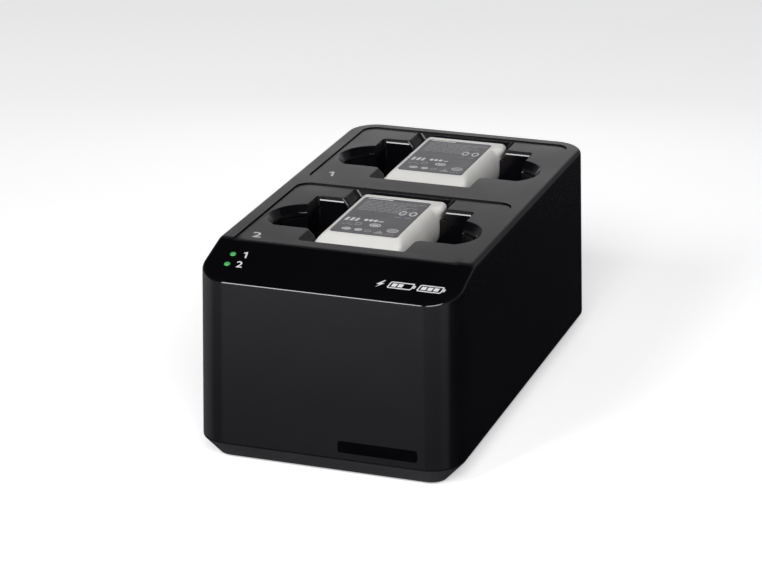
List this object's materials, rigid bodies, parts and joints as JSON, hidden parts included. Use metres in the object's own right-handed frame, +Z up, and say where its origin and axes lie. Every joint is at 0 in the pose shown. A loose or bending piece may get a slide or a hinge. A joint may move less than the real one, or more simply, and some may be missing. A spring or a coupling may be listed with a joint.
{
  "type": "battery charging dock",
  "caption": "Desktop charging dock with a front bay and a rear bay, each holding a flat white battery pack that lifts out above a deep pocket for a radio transmitter.",
  "frame": {"origin": "on the surface the dock stands on, under the middle of the housing", "axes": "+Z up, +Y to the rear where the power jack is, +X to the right seen from the front"},
  "size_m": [0.095, 0.168, 0.0735],
  "materials": {
    "gloss_black": "polished moulded plastic",
    "matt_black": "fine spark-eroded texture",
    "base_grey": "fine texture",
    "pack_white": "satin moulded plastic",
    "label_grey": "printed film",
    "contact_gold": "gold plated",
    "board_green": "solder mask on glass epoxy laminate",
    "component_black": "moulded",
    "cell_blue": "shrink film over an aluminium can",
    "light_green": "clear light pipe, lit green",
    "screw_steel": "zinc plated",
    "foot_rubber": "matt",
    "ribbon_grey": "flat cable"
  },
  "bodies": {
    "dock": {"base_cover": "base_grey", "battery_contact_block_1": "component_black", "battery_contact_block_2": "component_black", "battery_contact_lead_1": "ribbon_grey", "battery_contact_lead_2": "ribbon_grey", "bay_bezel_1": "matt_black", "bay_bezel_2": "matt_black", "bay_tub_1": "gloss_black", "bay_tub_2": "gloss_black", "board_screw_1": "screw_steel", "board_screw_2": "screw_steel", "board_screw_3": "screw_steel", "board_screw_4": "screw_steel", "case_screw_1": "screw_steel", "case_screw_2": "screw_steel", "case_screw_3": "screw_steel", "case_screw_4": "screw_steel", "charge_choke_1": "component_black", "charge_choke_2": "component_black", "charge_regulator_1": "component_black", "charge_regulator_2": "component_black", "housing_shell": "gloss_black", "indicator_board": "board_green", "indicator_led_1": "light_green", "indicator_led_2": "light_green", "indicator_lens_1": "light_green", "indicator_lens_2": "light_green", "indicator_ribbon": "ribbon_grey", "main_circuit_board": "board_green", "power_jack": "component_black", "rubber_foot_1": "foot_rubber", "rubber_foot_2": "foot_rubber", "rubber_foot_3": "foot_rubber", "rubber_foot_4": "foot_rubber", "smoothing_capacitor": "component_black", "transmitter_contact_block_1": "component_black", "transmitter_contact_block_2": "component_black"},
    "battery_1": {"battery_1_cell": "cell_blue", "battery_1_contact_strip": "contact_gold", "battery_1_cover": "pack_white", "battery_1_label": "label_grey", "battery_1_protection_board": "board_green", "battery_1_tray": "pack_white"},
    "battery_2": {"battery_2_cell": "cell_blue", "battery_2_contact_strip": "contact_gold", "battery_2_cover": "pack_white", "battery_2_label": "label_grey", "battery_2_protection_board": "board_green", "battery_2_tray": "pack_white"},
    "battery_contact_pin_1a_body": {"battery_contact_pin_1a": "contact_gold"},
    "battery_contact_pin_1b_body": {"battery_contact_pin_1b": "contact_gold"},
    "battery_contact_pin_1c_body": {"battery_contact_pin_1c": "contact_gold"},
    "battery_contact_pin_2a_body": {"battery_contact_pin_2a": "contact_gold"},
    "battery_contact_pin_2b_body": {"battery_contact_pin_2b": "contact_gold"},
    "battery_contact_pin_2c_body": {"battery_contact_pin_2c": "contact_gold"},
    "transmitter_contact_pin_1a_body": {"transmitter_contact_pin_1a": "contact_gold"},
    "transmitter_contact_pin_1b_body": {"transmitter_contact_pin_1b": "contact_gold"},
    "transmitter_contact_pin_2a_body": {"transmitter_contact_pin_2a": "contact_gold"},
    "transmitter_contact_pin_2b_body": {"transmitter_contact_pin_2b": "contact_gold"}
  },
  "joints": [
    {"name": "battery_1_lift", "type": "slide", "parent": "dock", "child": "battery_1", "axis": [0, 0, 1], "range_m": [0, 0.04]},
    {"name": "battery_2_lift", "type": "slide", "parent": "dock", "child": "battery_2", "axis": [0, 0, 1], "range_m": [0, 0.04]},
    {"name": "battery_contact_pin_1a_press", "type": "slide", "parent": "dock", "child": "battery_contact_pin_1a_body", "axis": [0, 0, -1], "range_m": [0, 0.0012], "stiffness_N_per_m": 500},
    {"name": "battery_contact_pin_1b_press", "type": "slide", "parent": "dock", "child": "battery_contact_pin_1b_body", "axis": [0, 0, -1], "range_m": [0, 0.0012], "stiffness_N_per_m": 500},
    {"name": "battery_contact_pin_1c_press", "type": "slide", "parent": "dock", "child": "battery_contact_pin_1c_body", "axis": [0, 0, -1], "range_m": [0, 0.0012], "stiffness_N_per_m": 500},
    {"name": "battery_contact_pin_2a_press", "type": "slide", "parent": "dock", "child": "battery_contact_pin_2a_body", "axis": [0, 0, -1], "range_m": [0, 0.0012], "stiffness_N_per_m": 500},
    {"name": "battery_contact_pin_2b_press", "type": "slide", "parent": "dock", "child": "battery_contact_pin_2b_body", "axis": [0, 0, -1], "range_m": [0, 0.0012], "stiffness_N_per_m": 500},
    {"name": "battery_contact_pin_2c_press", "type": "slide", "parent": "dock", "child": "battery_contact_pin_2c_body", "axis": [0, 0, -1], "range_m": [0, 0.0012], "stiffness_N_per_m": 500},
    {"name": "transmitter_contact_pin_1a_press", "type": "slide", "parent": "dock", "child": "transmitter_contact_pin_1a_body", "axis": [0, 0, -1], "range_m": [0, 0.0012], "stiffness_N_per_m": 500},
    {"name": "transmitter_contact_pin_1b_press", "type": "slide", "parent": "dock", "child": "transmitter_contact_pin_1b_body", "axis": [0, 0, -1], "range_m": [0, 0.0012], "stiffness_N_per_m": 500},
    {"name": "transmitter_contact_pin_2a_press", "type": "slide", "parent": "dock", "child": "transmitter_contact_pin_2a_body", "axis": [0, 0, -1], "range_m": [0, 0.0012], "stiffness_N_per_m": 500},
    {"name": "transmitter_contact_pin_2b_press", "type": "slide", "parent": "dock", "child": "transmitter_contact_pin_2b_body", "axis": [0, 0, -1], "range_m": [0, 0.0012], "stiffness_N_per_m": 500}
  ]
}
